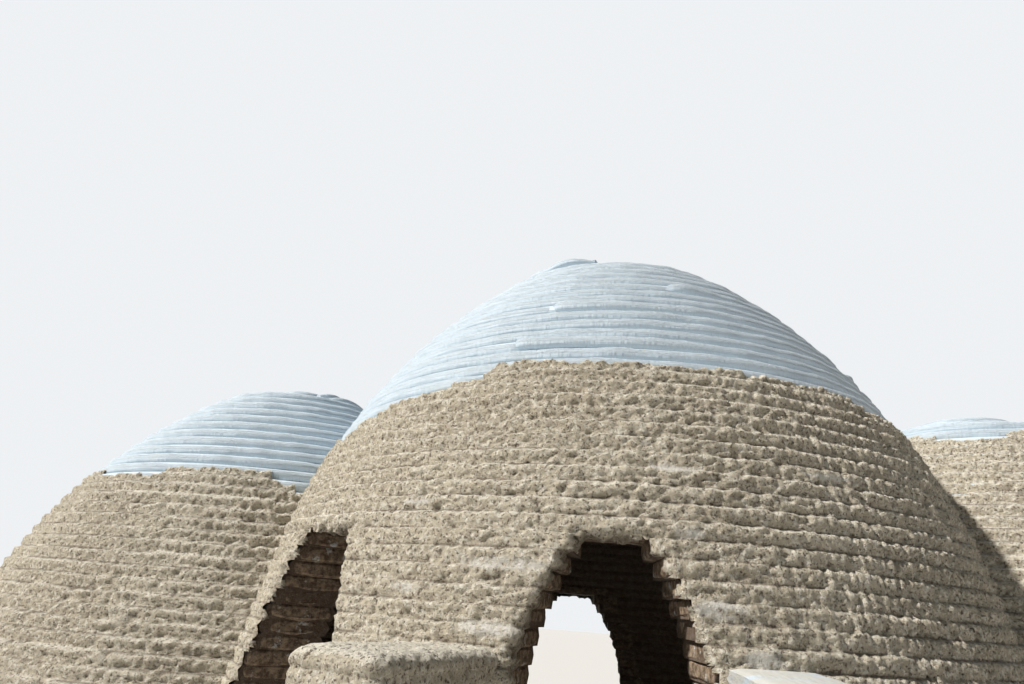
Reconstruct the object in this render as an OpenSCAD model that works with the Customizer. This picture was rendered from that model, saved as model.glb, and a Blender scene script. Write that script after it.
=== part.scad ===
// Earth-bag dome house: three round rooms of coiled bag courses, a tall middle
// dome with pointed doorways and a lower dome against each of its sides.
// Millimetres. The front doorway faces -Y, the ground is z = 0 and the origin
// lies on the axis of the middle dome.

/* [Bag courses] */
// Height of one tamped bag course
course_h = 64; // [56:1:76]
// Width of a bag, which is the thickness of the wall
bag_w = 320; // [260:5:380]
// How far the side of a bag bulges past its bedding face
bulge = 20; // [8:1:26]
// Clearance between one piece and the next
fit_gap = 0.4; // [0.3:0.1:0.8]

/* [Middle dome] */
// Height of the middle dome's courses, below its crown
main_h = 3520; // [3300:10:3540]
// Outer radius where the lower wall meets the vault
main_spring_r = 1870; // [1800:5:2000]
// Height where the lower wall meets the vault
main_spring_h = 1810; // [1740:10:1900]
// Lean of the lower wall, in degrees from upright
main_lean = 14.1; // [10:0.1:16]
// Radius of the vault's arc
main_vault_r = 2930; // [2850:10:3200]

/* [Side domes] */
// Height of a side dome's courses, below its crown
side_h = 2880; // [2700:10:2900]
// Outer radius where the lower wall meets the vault
side_spring_r = 1500; // [1460:5:1600]
// Height where the lower wall meets the vault
side_spring_h = 1810; // [1770:10:1850]
// Lean of the lower wall, in degrees from upright
side_lean = 26; // [22:0.5:27]
// Radius of the vault's arc
side_vault_r = 2500; // [2440:10:2800]
// Sideways distance from the middle axis to a side dome's axis
side_x = 2350; // [2250:10:2450]
// Distance of the side domes' axes behind the middle axis
side_y = 580; // [500:10:640]

/* [Foot] */
// Height of the steeper foot of each wall
foot_h = 900; // [700:20:1000]
// Lean of the foot, in degrees from upright
foot_lean = 4; // [0:0.5:8]

/* [Front doorway] */
// Half of the doorway's width at its foot
front_half = 355; // [320:5:400]
// Height where the pointed arch begins
front_spring = 1200; // [1100:20:1300]
// Height where the two arcs of the arch would meet
front_apex = 1970; // [1930:10:2010]
// Height of the bag that closes the arch
front_close = 1860; // [1780:10:1900]

/* [Left doorway] */
// Turn of the doorway from the front, in degrees
left_turn = -41.5; // [-44:0.5:-40]
// Half of the doorway's width at its foot
left_half = 400; // [370:10:410]
// Height where the pointed arch begins
left_spring = 1000; // [900:20:1100]
// Height where the two arcs of the arch would meet
left_apex = 2150; // [2100:10:2200]
// Height of the bag that closes the arch
left_close = 1860; // [1780:10:1900]

/* [Back doorway] */
// Turn of the doorway from the front, in degrees
back_turn = -170; // [-172:0.5:-168]
// Half of the doorway's width at its foot
back_half = 470; // [430:10:480]
// Height where the pointed arch begins
back_spring = 950; // [850:20:1000]
// Height where the two arcs of the arch would meet
back_apex = 1850; // [1810:10:1900]
// Height of the bag that closes the arch
back_close = 1730; // [1660:10:1780]

/* [Inner doorways] */
// Half of the width of the arch into each side dome
inner_half = 400; // [350:10:430]
// Height where the pointed arch begins
inner_spring = 900; // [800:20:1000]
// Height where the two arcs of the arch would meet
inner_apex = 1900; // [1860:10:1950]
// Height of the bag that closes the arch
inner_close = 1790; // [1700:10:1830]

/* [Mud coat] */
// Thickness of the mud coat over the bulge of a bag
coat_t = 24; // [16:1:34]
// Least mud over the upper corner of a bag
mud_least = 8; // [6:1:12]
// Height of the mud at the front of the middle dome
coat_front = 2630; // [2450:10:2750]
// Height of the mud on the left of the middle dome
coat_left = 2370; // [2200:10:2500]
// Height of the mud on the right of the middle dome
coat_right = 2560; // [2400:10:2700]
// Height of the mud at the back of the middle dome
coat_back = 2500; // [2300:10:2600]
// Height of the mud on the left dome
coat_left_dome = 2240; // [2100:10:2400]
// Height of the mud on the right dome
coat_right_dome = 2750; // [2500:10:2770]

/* [Wing walls] */
// Thickness of a wing wall's bags
wing_w = 280; // [240:10:320]
// Distance that a wing wall reaches out from the dome
wing_out = 600; // [480:10:640]
// Height of a wing wall, below its top course
wing_h = 1408; // [1280:16:1472]
// Flare of the left wing wall, in degrees
wing_flare = 20; // [10:1:26]

/* [Crown] */
// How far the crown steps in from the vault's line
crown_step = 40; // [20:5:60]
// Width of the rim round the crown's raised coil
crown_rim = 190; // [150:5:220]
// Turn where the spare bag on the rim begins
crown_bag_from = -95; // [-110:5:-80]
// Turn where the spare bag on the rim ends
crown_bag_to = -15; // [-30:5:0]

/* [Hidden] */
$fn = 180;

bag_colour = "whitesmoke";
earth_colour = "rosybrown";
mud_colour = "tan";

// Angle left between the ends of two bags, in degrees
end_gap = 0.01;
// Narrowest strip of mud that is laid between an opening and a side dome, in degrees
least_strip = 0.5;
// Share of the mud's thickness that is left in the groove between two courses
groove_share = 0.55;
// Heights in a course of a bag's corners, and of the full thickness of the mud
bag_levels = [0.2, 0.5, 0.8];
mud_levels = [0.35, 0.7];
// Share of the bulge that is left at a bag's corners
corner_share = 0.3;
// Height of the half-filled spare bag
spare_bag_h = 51;
// Height where a dome's wall is jointed between the lower and the upper pieces
upper_from_h = 3070;
side_vault_from_h = 1410;

function courses_in(height) = round(height / course_h);
main_courses = courses_in(main_h);
side_courses = courses_in(side_h);
upper_from = courses_in(upper_from_h);
side_vault_from = courses_in(side_vault_from_h);
wing_courses = courses_in(wing_h);

// A dome's shape: spring radius, spring height, lean, vault radius
main = [main_spring_r, main_spring_h, main_lean, main_vault_r];
side = [side_spring_r, side_spring_h, side_lean, side_vault_r];

// Outer radius of a dome's bags at height z
function vault_r(d, z) =
  let (s = sin(d[2]) + (z - d[1]) / d[3])
  d[0] - d[3] * (cos(d[2]) - sqrt(1 - s * s));
function wall_r(d, z) = d[0] + (d[1] - z) * tan(d[2]);
function dome_r(d, z) =
  z > d[1] ? vault_r(d, z)
  : z > foot_h ? wall_r(d, z)
  : wall_r(d, foot_h) + (foot_h - z) * tan(foot_lean);
function course_r(d, k) = dome_r(d, (k + 0.5) * course_h);

// Radius of the mud in the groove below course k
function groove_r(d, k) =
  max(dome_r(d, k * course_h) + coat_t * groove_share,
      k > 0 ? course_r(d, k - 1) - bulge + mud_least : 0);
// Widest the mud is on course k
function coated_r(d, k) = max(course_r(d, k) + coat_t, groove_r(d, k));

// An opening: turn, half width at the foot, spring, apex, courses of rise
side_turn = atan2(side_x, -side_y);
front_door = [0, front_half, front_spring, front_apex, courses_in(front_close)];
left_door = [left_turn, left_half, left_spring, left_apex, courses_in(left_close)];
back_door = [back_turn, back_half, back_spring, back_apex, courses_in(back_close)];
inner_rise = courses_in(inner_close);
left_inner = [-side_turn, inner_half, inner_spring, inner_apex, inner_rise];
right_inner = [side_turn, inner_half, inner_spring, inner_apex, inner_rise];

// Half width of a pointed arch at height z
function arch_half(o, z) =
  let (rise = o[3] - o[2], r = (rise * rise + o[1] * o[1]) / (2 * o[1]))
  z < o[2] ? o[1] : sqrt(r * r - pow(z - o[2], 2)) - (r - o[1]);
// Half angle of the opening in course k, 0 above its closing bag
function door_half_angle(d, o, k) =
  k >= o[4] ? 0 : asin(arch_half(o, (k + 0.5) * course_h) / course_r(d, k));

// Half angle, seen from the centre of a circle of radius r, of the stretch that
// lies inside a circle of radius other on the next dome's axis
axis_distance = norm([side_x, side_y]);
function meeting_angle(r, other) =
  let (c = (pow(axis_distance, 2) + r * r - other * other) / (2 * axis_distance * r))
  c >= 1 ? 0 : acos(c);

// Height of course k in a piece that ends with course k1
function piece_h(k, k1) = k == k1 ? course_h - fit_gap : course_h;

// Outer side of a bag's cross-section, from its bed upwards
function bag_side(r_out, h) = [
  [r_out - bulge, 0], [r_out - bulge * corner_share, h * bag_levels[0]],
  [r_out, h * bag_levels[1]],
  [r_out - bulge * corner_share, h * bag_levels[2]], [r_out - bulge, h]
];
// Inner side of a bag's cross-section, from its top downwards
function bag_back(r_in, h) = [
  [r_in + bulge, h], [r_in, h * bag_levels[1]], [r_in + bulge, 0]
];

// Cross-section of the bags of dome d from course k0 to k1
module wall_section(d, k0, k1)
  polygon(concat(
    [for (k = [k0:k1], p = bag_side(course_r(d, k), piece_h(k, k1)))
       p + [0, k * course_h]],
    [for (k = [k1:-1:k0], p = bag_back(course_r(d, k) - bag_w, piece_h(k, k1)))
       p + [0, k * course_h]]
  ));

// Outer side of the mud on courses k0 to k1, upwards
function mud_face(groove, crest, k0, k1) = [
  for (k = [k0:k1]) each [
    [groove[k - k0], k * course_h],
    [crest[k - k0], (k + mud_levels[0]) * course_h],
    [crest[k - k0], (k + mud_levels[1]) * course_h]
  ],
  [groove[k1 + 1 - k0], (k1 + 1) * course_h - fit_gap]
];
// Inner side of the same mud, downwards, clear of the bags and of their beds
function mud_back(r, k0, k1) = [
  for (k = [k1:-1:k0], i = [4:-1:0])
    bag_side(r[k - k0], piece_h(k, k1))[i] + [fit_gap, k * course_h]
    + [0, (i == 0 && k > k0) || (i == 4 && k < k1) ? fit_gap : 0]
];

// Cross-section of the mud on dome d from course k0 to k1
module coat_section(d, k0, k1)
  polygon(concat(
    mud_face([for (k = [k0:k1 + 1]) groove_r(d, k)],
             [for (k = [k0:k1]) course_r(d, k) + coat_t], k0, k1),
    mud_back([for (k = [k0:k1]) course_r(d, k)], k0, k1)
  ));

// Places the child, a section, as an arc between two turns from the front
module arc(from, to)
  if (to - from > 359)
    rotate_extrude() children();
  else
    rotate([0, 0, from - 90]) rotate_extrude(angle = to - from) children();

// Plan of a wedge about the axis, on both sides of a turn
module wedge(turn, half_angle) {
  reach = dome_r(main, 0) + bag_w;
  rotate([0, 0, turn])
    polygon([[0, 0], [-reach * tan(half_angle), -reach],
             [reach * tan(half_angle), -reach]]);
}
// What lies within half_angles of a turn, course by course from k0 on; each wedge
// begins just above a bed, and the first also reaches below its course
module wedges(turn, half_angles, k0)
  for (i = [0:len(half_angles) - 1])
    if (half_angles[i] > 0)
      translate([0, 0, (k0 + i - (i == 0 ? 1 : 0)) * course_h + fit_gap / 2])
        linear_extrude(course_h * (i == 0 ? 2 : 1)) wedge(turn, half_angles[i]);

// Room of a doorway with bags that end in steps, one at each course
module door_space(d, o)
  wedges(o[0], [for (k = [0:o[4] - 1]) door_half_angle(d, o, k)], 0);
// Lays the child, a section, from one edge to the next: an edge is a turn, and a
// doorway if it has one
module between(d, from, to)
  difference() {
    arc(from[0] + end_gap, to[0] - end_gap) children();
    for (e = [from, to])
      if (len(e) > 1)
        door_space(d, e[1]);
  }

// Half angle of course k of the middle dome's mud that a side dome stands against
function main_hidden(k) =
  max(meeting_angle(course_r(main, k) - bulge, coated_r(side, k)),
      meeting_angle(coated_r(main, k), coated_r(side, k)));
// The same, out to the doorway o where only a thin strip of mud would be left
function main_covered(k, o) =
  let (strip = side_turn - abs(o[0]) - door_half_angle(main, o, k) - main_hidden(k))
  main_hidden(k) + (strip < least_strip ? 2 * least_strip + max(strip, 0) : 0);

module main_coat(k0, k1, from, to) color(mud_colour)
  difference() {
    between(main, from, to) coat_section(main, k0, k1);
    for (turn = [-side_turn, side_turn])
      wedges(turn, [for (k = [k0:k1]) main_covered(k, turn < 0 ? left_door : front_door)],
             k0);
  }

front_edge = [0, front_door];
left_edge = [left_turn, left_door];
back_edge = [back_turn, back_door];
far_back_edge = [back_turn + 360, back_door];
left_inner_edge = [-side_turn, left_inner];
right_inner_edge = [side_turn, right_inner];
flank_edge = [side_turn / 2];

// The piers reach one course above the highest closing bag
haunch_from = max(front_door[4], left_door[4], back_door[4], inner_rise) + 1;
pier_top = haunch_from - 1;
shoulder_from = courses_in(min(coat_left, coat_back));

module pier(from, to) color(earth_colour)
  between(main, from, to) wall_section(main, 0, pier_top);
module front_left_pier() pier(left_edge, front_edge);
module left_pier() pier(left_inner_edge, left_edge);
module back_left_pier() pier(back_edge, left_inner_edge);
module back_right_pier() pier(right_inner_edge, far_back_edge);
module right_pier() pier(flank_edge, right_inner_edge);
module front_right_pier() pier(front_edge, flank_edge);

module front_left_coat() main_coat(0, pier_top, left_edge, front_edge);
module left_coat() main_coat(0, pier_top, left_inner_edge, left_edge);
module back_left_coat() main_coat(0, pier_top, back_edge, left_inner_edge);
module back_right_coat() main_coat(0, pier_top, right_inner_edge, far_back_edge);
module right_coat() main_coat(0, pier_top, flank_edge, right_inner_edge);
module front_right_coat() main_coat(0, pier_top, front_edge, flank_edge);

module haunch(from, to) color(earth_colour)
  between(main, [from], [to]) wall_section(main, haunch_from, shoulder_from - 1);
module front_haunch() haunch(-45, 45);
module right_haunch() haunch(45, 135);
module back_haunch() haunch(135, 225);
module left_haunch() haunch(225, 315);

module haunch_coat(top, from, to)
  main_coat(haunch_from, courses_in(top) - 1, [from], [to]);
module front_haunch_coat() haunch_coat(coat_front, -45, 45);
module right_haunch_coat() haunch_coat(coat_right, 45, 135);
module back_haunch_coat() haunch_coat(coat_back, 135, 225);
module left_haunch_coat() haunch_coat(coat_left, -135, -45);

module shoulder_courses() color(bag_colour)
  rotate_extrude() wall_section(main, shoulder_from, upper_from - 1);
module upper_courses() color(bag_colour)
  rotate_extrude() wall_section(main, upper_from, main_courses - 1);

// A dome closes with a flat coil of bag and a smaller one raised on it
function crown_r(d, courses) = dome_r(d, courses * course_h) - crown_step;
module crown(d, courses) color(bag_colour)
  translate([0, 0, courses * course_h]) rotate_extrude()
    polygon(concat(
      [[0, 0]], bag_side(crown_r(d, courses), course_h),
      [for (p = bag_side(crown_r(d, courses) - crown_rim, course_h)) p + [0, course_h]],
      [[0, 2 * course_h]]
    ));
module crown_coil() crown(main, main_courses);

// A spare length of bag lies on the crown's rim, beside the coil
module crown_bag() color(bag_colour)
  translate([0, 0, (main_courses + 1) * course_h + fit_gap]) {
    r = crown_r(main, main_courses);
    arc(crown_bag_from, crown_bag_to)
      polygon(concat(bag_side(r, spare_bag_h),
                     bag_back(r - crown_rim + fit_gap, spare_bag_h)));
  }

// Side domes are drawn about their own axis, with the middle dome on their right;
// half -1 of a side dome is its front and half 1 its back
module left_dome_place() translate([-side_x, side_y, 0]) children();
module right_dome_place() mirror([1, 0, 0]) left_dome_place() children();
to_main = 180 - side_turn;

// Body of revolution that holds courses 0 to k1 of the middle dome, in steps
module main_space(k1, extra)
  rotate_extrude() polygon(concat(
    [[0, -course_h], [course_r(main, 0) + extra, -course_h]],
    [for (k = [0:k1], top = k == 0 ? [1] : [0, 1])
       [course_r(main, k) + extra, (k + top) * course_h + fit_gap]],
    [[0, (k1 + 1) * course_h + fit_gap]]
  ));

module side_part(k0, k1, from, to)
  difference() {
    arc(from, to) wall_section(side, k0, k1);
    translate([side_x, -side_y, 0]) main_space(k1, fit_gap);
  }
module side_wall(half) color(earth_colour)
  side_part(0, side_vault_from - 1, to_main - (half < 0 ? 180 : 0) + end_gap,
            to_main + (half < 0 ? 0 : 180) - end_gap);
module side_vault(courses) color(bag_colour)
  side_part(side_vault_from, courses - 1, 0, 360);

// Half angle of course k of a side dome's mud that the middle dome hides
function side_hidden(k) =
  max(meeting_angle(course_r(side, k) - bulge, course_r(main, k)),
      meeting_angle(coated_r(side, k), course_r(main, k))) + end_gap;
module side_coat(top, half) color(mud_colour)
  difference() {
    arc(to_main - (half < 0 ? 180 : 0) + end_gap, to_main + (half < 0 ? 0 : 180) - end_gap)
      coat_section(side, 0, courses_in(top) - 1);
    wedges(to_main, [for (k = [0:courses_in(top) - 1]) side_hidden(k)], 0);
  }

module left_dome_front_wall() left_dome_place() side_wall(-1);
module left_dome_back_wall() left_dome_place() side_wall(1);
module left_dome_vault() left_dome_place() side_vault(side_courses);
module left_dome_front_coat() left_dome_place() side_coat(coat_left_dome, -1);
module left_dome_back_coat() left_dome_place() side_coat(coat_left_dome, 1);
module left_dome_crown() left_dome_place() crown(side, side_courses);

// The right dome is one course lower than the left one
module right_dome_front_wall() right_dome_place() side_wall(-1);
module right_dome_back_wall() right_dome_place() side_wall(1);
module right_dome_vault() right_dome_place() side_vault(side_courses - 1);
module right_dome_front_coat() right_dome_place() side_coat(coat_right_dome, -1);
module right_dome_back_coat() right_dome_place() side_coat(coat_right_dome, 1);
module right_dome_crown() right_dome_place() crown(side, side_courses - 1);

// A wing wall runs out from beside the front doorway, its inner face in line
// with the jamb, and its straight bags end in a half round
wing_straight = wing_out - wing_w / 2;
wing_root_y = -course_r(main, wing_courses);
wing_r = wing_w / 2;
wing_groove_r = wing_r + coat_t * groove_share;
module left_wing_place()
  translate([-front_half, wing_root_y, 0]) rotate([0, 0, -wing_flare])
    translate([-wing_r - coat_t, 0, 0]) children();
module right_wing_place()
  translate([front_half + wing_r + coat_t, wing_root_y, 0]) children();

// Runs the child, one half of a section, along both sides of a wing wall, which
// starts inside the dome and is cut back to its mud
module wing_run() {
  for (m = [0, 1])
    mirror([m, 0, 0]) translate([0, wing_w, 0]) rotate([90, 0, 0])
      linear_extrude(wing_w + wing_straight) children();
  translate([0, -wing_straight, 0]) rotate([0, 0, 180])
    rotate_extrude(angle = 180) children();
}
module wing_root_space() main_space(wing_courses, coat_t + fit_gap);

module half_wing_section()
  polygon(concat(
    [[0, wing_courses * course_h - fit_gap], [0, 0]],
    [for (k = [0:wing_courses - 1], p = bag_side(wing_r, piece_h(k, wing_courses - 1)))
       p + [0, k * course_h]]
  ));
function wing_mud_face() =
  mud_face([for (k = [0:wing_courses]) wing_groove_r],
           [for (k = [1:wing_courses]) wing_r + coat_t], 0, wing_courses - 1);
function wing_mud_back() =
  mud_back([for (k = [1:wing_courses]) wing_r], 0, wing_courses - 1);
// The rounded mud over the top of the left wing wall, upwards
function wing_top() = [
  for (p = [[0, 0], [0, 0.3], [bulge * 0.4, 0.6], [bulge * 1.4, 0.85], [bulge * 3, 1]])
    [wing_groove_r - p[0], (wing_courses + p[1]) * course_h]
];

module left_wing_wall() color(earth_colour)
  difference() {
    left_wing_place() wing_run() half_wing_section();
    wing_root_space();
  }
module right_wing_wall() color(earth_colour)
  difference() {
    right_wing_place() wing_run() half_wing_section();
    wing_root_space();
  }

// The left wing wall is mudded over its rounded top, the right one ends in a bag
module left_wing_coat() color(mud_colour)
  difference() {
    left_wing_place() wing_run()
      polygon(concat(
        [for (i = [0:3 * wing_courses - 1]) wing_mud_face()[i]], wing_top(),
        [[0, (wing_courses + 1) * course_h], [0, wing_courses * course_h],
         [wing_r - bulge + fit_gap, wing_courses * course_h]],
        wing_mud_back()
      ));
    wing_root_space();
  }
module right_wing_coat() color(mud_colour)
  difference() {
    right_wing_place() wing_run() polygon(concat(wing_mud_face(), wing_mud_back()));
    wing_root_space();
  }
module right_wing_cap() color(bag_colour)
  difference() {
    right_wing_place() translate([0, 0, wing_courses * course_h]) wing_run()
      polygon(concat([[0, course_h], [0, 0]], bag_side(wing_r + coat_t, course_h)));
    wing_root_space();
  }

front_left_pier();
left_pier();
back_left_pier();
back_right_pier();
right_pier();
front_right_pier();
front_left_coat();
left_coat();
back_left_coat();
back_right_coat();
right_coat();
front_right_coat();
front_haunch();
left_haunch();
right_haunch();
back_haunch();
front_haunch_coat();
left_haunch_coat();
right_haunch_coat();
back_haunch_coat();
shoulder_courses();
upper_courses();
crown_coil();
crown_bag();
left_dome_front_wall();
left_dome_back_wall();
left_dome_vault();
left_dome_front_coat();
left_dome_back_coat();
left_dome_crown();
right_dome_front_wall();
right_dome_back_wall();
right_dome_vault();
right_dome_front_coat();
right_dome_back_coat();
right_dome_crown();
left_wing_wall();
left_wing_coat();
right_wing_wall();
right_wing_coat();
right_wing_cap();
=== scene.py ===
"""Dresses the earth-bag dome house: its mud coat, bare bag courses, bag ends at the
doorways, crown and wing walls, on the frame that the CAD model gives."""
import itertools
import math

import bpy
import numpy as np
from mathutils import Matrix, Vector


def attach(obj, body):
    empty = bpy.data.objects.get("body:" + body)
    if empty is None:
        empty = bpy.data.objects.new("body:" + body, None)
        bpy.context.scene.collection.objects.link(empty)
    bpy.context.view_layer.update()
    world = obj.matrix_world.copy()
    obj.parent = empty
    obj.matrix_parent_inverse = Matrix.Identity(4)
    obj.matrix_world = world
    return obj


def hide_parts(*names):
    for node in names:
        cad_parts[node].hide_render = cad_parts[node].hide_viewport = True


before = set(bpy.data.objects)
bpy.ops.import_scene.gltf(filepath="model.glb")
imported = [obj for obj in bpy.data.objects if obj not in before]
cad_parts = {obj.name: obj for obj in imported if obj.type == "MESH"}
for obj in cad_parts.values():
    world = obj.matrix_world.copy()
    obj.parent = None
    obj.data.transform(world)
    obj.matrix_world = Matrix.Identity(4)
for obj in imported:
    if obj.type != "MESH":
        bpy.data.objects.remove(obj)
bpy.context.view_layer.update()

bl_info = {
    "name": "Earth-bag dome house",
    "version": (1, 0, 0),
    "blender": (4, 5, 0),
    "location": "3D View > Sidebar > Dome House",
    "description": "Mud coat, woven bags and bag ends of an earth-bag dome house",
    "category": "Object",
}

COARSE = 1

# Sizes of the CAD model, in metres and radians
COURSE = 0.064
BAG_WIDTH = 0.320
BULGE = 0.020
COAT = 0.024
GROOVE_SHARE = 0.55
MUD_LEAST = 0.008
FOOT_HEIGHT = 0.900
FOOT_LEAN = math.radians(4.0)
WING_WIDTH = 0.280
WING_OUT = 0.600
WING_COURSES = 22
WING_FLARE = math.radians(20.0)
DOOR_HALF = 0.355
CROWN_STEP = 0.040
CROWN_RIM = 0.190
SPARE_BAG = 0.051


class Dome:
    """One round room: where its axis is and the shape of its wall"""

    def __init__(self, x, y, spring_r, spring_h, lean, vault_r, courses):
        self.x, self.y = x, y
        self.spring_r, self.spring_h = spring_r, spring_h
        self.lean, self.vault_r = math.radians(lean), vault_r
        self.courses = courses
        self.crown_r = float(self.radius(courses * COURSE)) - CROWN_STEP

    def radius(self, z):
        """Outer radius of the bags at height z"""
        z = np.asarray(z, dtype=float)
        sine = np.clip(math.sin(self.lean) + (z - self.spring_h) / self.vault_r, -1.0, 0.999)
        vault = self.spring_r - self.vault_r * (math.cos(self.lean) - np.sqrt(1.0 - sine ** 2))
        wall = self.spring_r + (self.spring_h - z) * math.tan(self.lean)
        knee = self.spring_r + (self.spring_h - FOOT_HEIGHT) * math.tan(self.lean)
        foot = knee + (FOOT_HEIGHT - z) * math.tan(FOOT_LEAN)
        return np.where(z > self.spring_h, vault, np.where(z > FOOT_HEIGHT, wall, foot))

    def slope(self, z):
        """Angle by which the wall leans in at height z"""
        reach = 0.05
        return np.arctan((self.radius(z - reach) - self.radius(z + reach)) / (2 * reach))

    def course_radius(self, k):
        return self.radius((np.asarray(k) + 0.5) * COURSE)

    def groove_radius(self, k):
        """Radius of the mud in the groove below course k"""
        k = np.asarray(k)
        deep = self.radius(k * COURSE) + COAT * GROOVE_SHARE
        return np.maximum(deep, self.course_radius(k - 1) - BULGE + MUD_LEAST)

    def place(self, turn, radius, z):
        """Points at a turn from the front, in radians, and a distance from the axis"""
        return np.stack(np.broadcast_arrays(
            self.x + radius * np.sin(turn), self.y - radius * np.cos(turn), z), axis=-1)

    def outside(self, points):
        """How far points lie outside this dome's bags"""
        reach = np.hypot(points[..., 0] - self.x, points[..., 1] - self.y)
        return reach - self.radius(points[..., 2])


MIDDLE = Dome(0.0, 0.0, 1.870, 1.810, 14.1, 2.930, 55)
LEFT = Dome(-2.350, 0.580, 1.500, 1.810, 26.0, 2.500, 45)
RIGHT = Dome(2.350, 0.580, 1.500, 1.810, 26.0, 2.500, 44)


class Doorway:
    """A pointed doorway in the middle dome whose bags end in steps"""

    def __init__(self, turn, half, spring, apex, rise):
        self.turn, self.half, self.spring, self.rise = math.radians(turn), half, spring, rise
        self.arc = ((apex - spring) ** 2 + half ** 2) / (2 * half)

    def half_width(self, z):
        up = np.maximum(np.asarray(z, dtype=float) - self.spring, 0.0)
        return np.sqrt(np.maximum(self.arc ** 2 - up ** 2, 0.0)) - (self.arc - self.half)

    def angle_at(self, z):
        """Half angle of the opening at height z, seen from the dome's axis"""
        return np.arcsin(np.clip(self.half_width(z), 0.0, 1.0) / MIDDLE.radius(z))

    def half_angle(self, k):
        """Half angle of the opening in course k"""
        return self.angle_at((np.asarray(k) + 0.5) * COURSE)

    def mud_angle(self, rise):
        """Half angle of the opening at the mud, whose edge is softer than the bags' steps"""
        stepped = self.half_angle(np.floor(np.clip(rise, 0, self.rise - 1)))
        even = self.angle_at(np.clip(rise, 0.5, self.rise - 0.5) * COURSE)
        return 0.55 * stepped + 0.45 * even


FRONT_DOOR = Doorway(0.0, DOOR_HALF, 1.200, 1.970, 29)
LEFT_DOOR = Doorway(-41.5, 0.400, 1.000, 2.150, 29)
BACK_DOOR = Doorway(-170.0, 0.470, 0.950, 1.850, 27)
INNER_DOORS = [Doorway(math.degrees(math.atan2(dome.x, -dome.y)), 0.400, 0.900, 1.900, 28)
               for dome in (LEFT, RIGHT)]
OUTER_DOORS = [FRONT_DOOR, LEFT_DOOR, BACK_DOOR]


def linear(hex_colour):
    """Scene-linear colour and alpha of an sRGB hex colour"""
    channels = [int(hex_colour[i:i + 2], 16) / 255 for i in (1, 3, 5)]
    return [c / 12.92 if c <= 0.04045 else ((c + 0.055) / 1.055) ** 2.4
            for c in channels] + [1.0]


def colour_property(name, description, hex_colour):
    return bpy.props.FloatVectorProperty(
        name=name, description=description, default=linear(hex_colour),
        subtype="COLOR", size=4, min=0.0, max=1.0)


def length_property(name, description, metres):
    return bpy.props.FloatProperty(
        name=name, description=description, default=metres, min=0.0,
        subtype="DISTANCE", unit="LENGTH", precision=4)


class DomeHouseSizes(bpy.types.PropertyGroup):
    """Sizes of the finish that isn't in the CAD model"""
    column: length_property("Mud column", "Width of a facet of the mud at the front", 0.0105)
    back_column: length_property("Back column", "Width of a facet of the mud behind", 0.024)
    lump: length_property("Lump depth", "Depth of the hand-sized lumps in the mud", 0.008)
    clod: length_property("Clod depth", "Depth of the clods and pits in the mud", 0.0105)
    wave: length_property("Course wave", "Rise and fall of a course line", 0.007)
    ragged: length_property("Ragged edge", "Unevenness of the mud's edges", 0.022)
    bag_step: length_property("Bag step", "Distance between rings of a bag's mesh", 0.029)
    bag_depth: length_property("Bag depth", "Depth of the bag skin on the bare courses", 0.150)
    wrinkle: length_property("Wrinkle", "Depth of the wrinkles across a bag", 0.006)


class DomeHouseColours(bpy.types.PropertyGroup):
    """Colours of the finishes"""
    mud: colour_property("Mud", "Dry mud plaster", "#CEC4AF")
    mud_second: colour_property("Second batch", "Mud plaster of a darker batch", "#C2B7A2")
    # Pale mud: partly dust, partly painted highlight on the raised clods, the grit and the
    # ledges that face up
    mud_dust_and_highlight: colour_property("Mud dust", "Pale, dusty lips of the mud", "#EFE9DA")
    # Painted shade in the mud's grooves, pits, low crumbs and doorway reveals
    mud_recess_shade: colour_property("Mud hollows", "Damper mud in hollows and grooves", "#685B4D")
    smear: colour_property("Smear", "Thin mud wiped over a bag", "#E3DFD6")
    # White bag, with a painted blue tint of skylight
    bag: colour_property("Bag", "White woven polypropylene", "#C1CED7")
    bag_fold: colour_property("Bag folds", "Shade in the long folds of a bag", "#98A6B1")
    bag_dust: colour_property("Bag dust", "Mud dust on the bags", "#C3BAA8")
    earth: colour_property("Earth", "Earth at the ends of worn bags", "#85735F")
    # Paler, sunlit copy of the earth: painted light on the torn ends at the front and left
    # doorways
    sunlit_earth: colour_property("Torn ends", "Paler earth at torn ends in front", "#A08D77")
    # Darker, shaded copy of the earth for the bags inside the rooms: painted shade
    shaded_inner_earth: colour_property("Inner bags", "Stained bags inside the rooms", "#6A5F54")
    # Painted shade between the lumps of the earth
    earth_recess_shade: colour_property("Earth hollows", "Earth between the lumps", "#5B4A3C")
    scrap: colour_property("Scraps", "Threads and scraps of bag on the earth", "#BFC0BC")
    floor: colour_property("Floor", "Studio floor", "#CCCAC6")


class DomeHouse(bpy.types.PropertyGroup):
    """Everything about the house that a user would change"""
    sizes: bpy.props.PointerProperty(type=DomeHouseSizes, name="Sizes", description="Sizes")
    colours: bpy.props.PointerProperty(
        type=DomeHouseColours, name="Colours", description="Colours")


def sizes():
    return bpy.context.scene.dome_house.sizes


def colours():
    return bpy.context.scene.dome_house.colours


# Noise

EDGES = np.array([v for v in itertools.product((-1, 0, 1), repeat=3)
                  if sum(abs(c) for c in v) == 2], dtype=float)


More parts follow.
